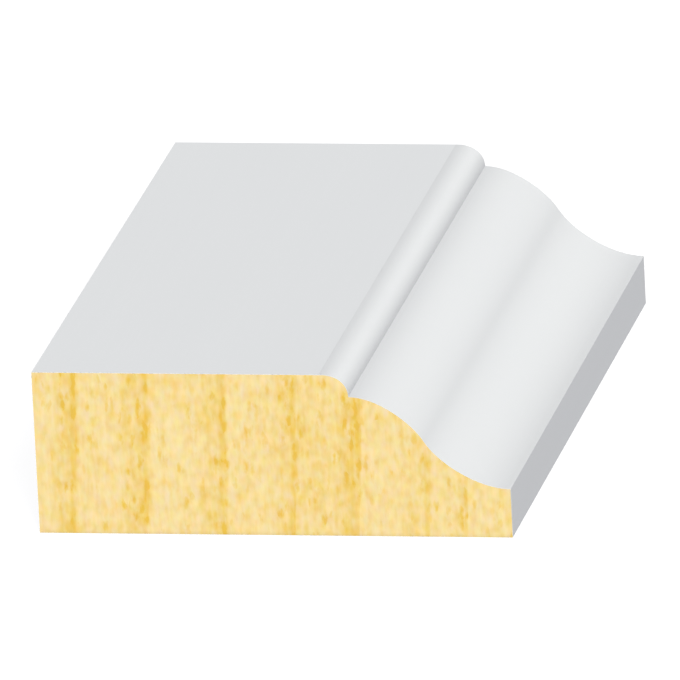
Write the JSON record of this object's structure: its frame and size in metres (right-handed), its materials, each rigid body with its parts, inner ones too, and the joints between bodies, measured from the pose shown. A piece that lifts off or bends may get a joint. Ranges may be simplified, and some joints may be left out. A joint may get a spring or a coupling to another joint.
{
  "type": "door stop moulding",
  "caption": "Straight strip of white-primed pine with a flat band, a small bead and an ogee down to a thin edge, nailed round a door jamb for the door to close on.",
  "frame": {"origin": "middle of the flat back, which is the underside as the strip lies", "axes": "+Y along the length, +X across the width towards the thin nose edge, +Z out of the back towards the moulded face"},
  "size_m": [0.0318, 0.0508, 0.0111],
  "materials": {
    "primed_pine": "satin white primer on the face and edges, bare pine on the cut ends"
  },
  "bodies": {
    "root": {"door_stop_moulding": "primed_pine"}
  },
  "joints": []
}
